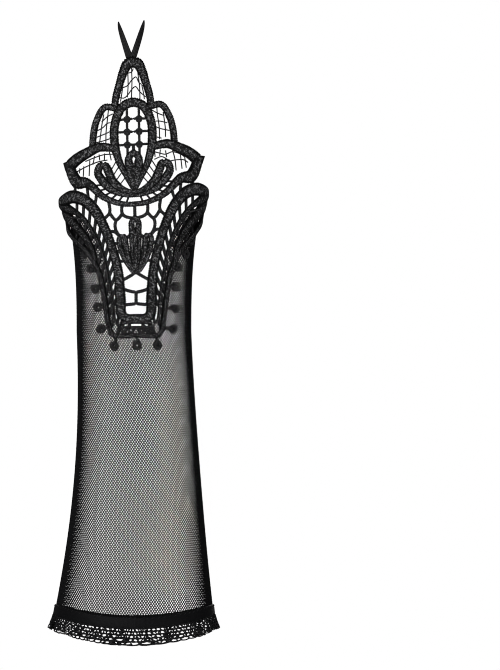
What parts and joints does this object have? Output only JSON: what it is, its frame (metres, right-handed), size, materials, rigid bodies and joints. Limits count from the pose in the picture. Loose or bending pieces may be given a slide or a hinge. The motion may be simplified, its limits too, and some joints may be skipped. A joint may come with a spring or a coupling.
{
  "type": "evening mitten",
  "caption": "Fingerless evening mitten: sheer net sleeve, guipure lace on the back of the hand, a finger loop, and an elastic hem with a gathered lace frill.",
  "frame": {"origin": "centre of the ring of the elastic hem band, where the forearm goes in", "axes": "+Z along the forearm toward the fingers, -Y out of the back of the hand, +X to the right when the lace is looked at"},
  "size_m": [0.104, 0.086, 0.3607],
  "materials": {
    "net": "fine knitted net of matt black thread",
    "elastic": "smooth satin-faced woven elastic",
    "frill_lace": "narrow pierced lace edging, gathered",
    "guipure": "raised cords of lustrous black thread",
    "loop_elastic": "narrow flat elastic"
  },
  "bodies": {
    "root": {"net_sleeve": "net", "elastic_band": "elastic", "lace_frill": "frill_lace", "lace_motif": "guipure", "finger_loop": "loop_elastic"}
  },
  "joints": []
}
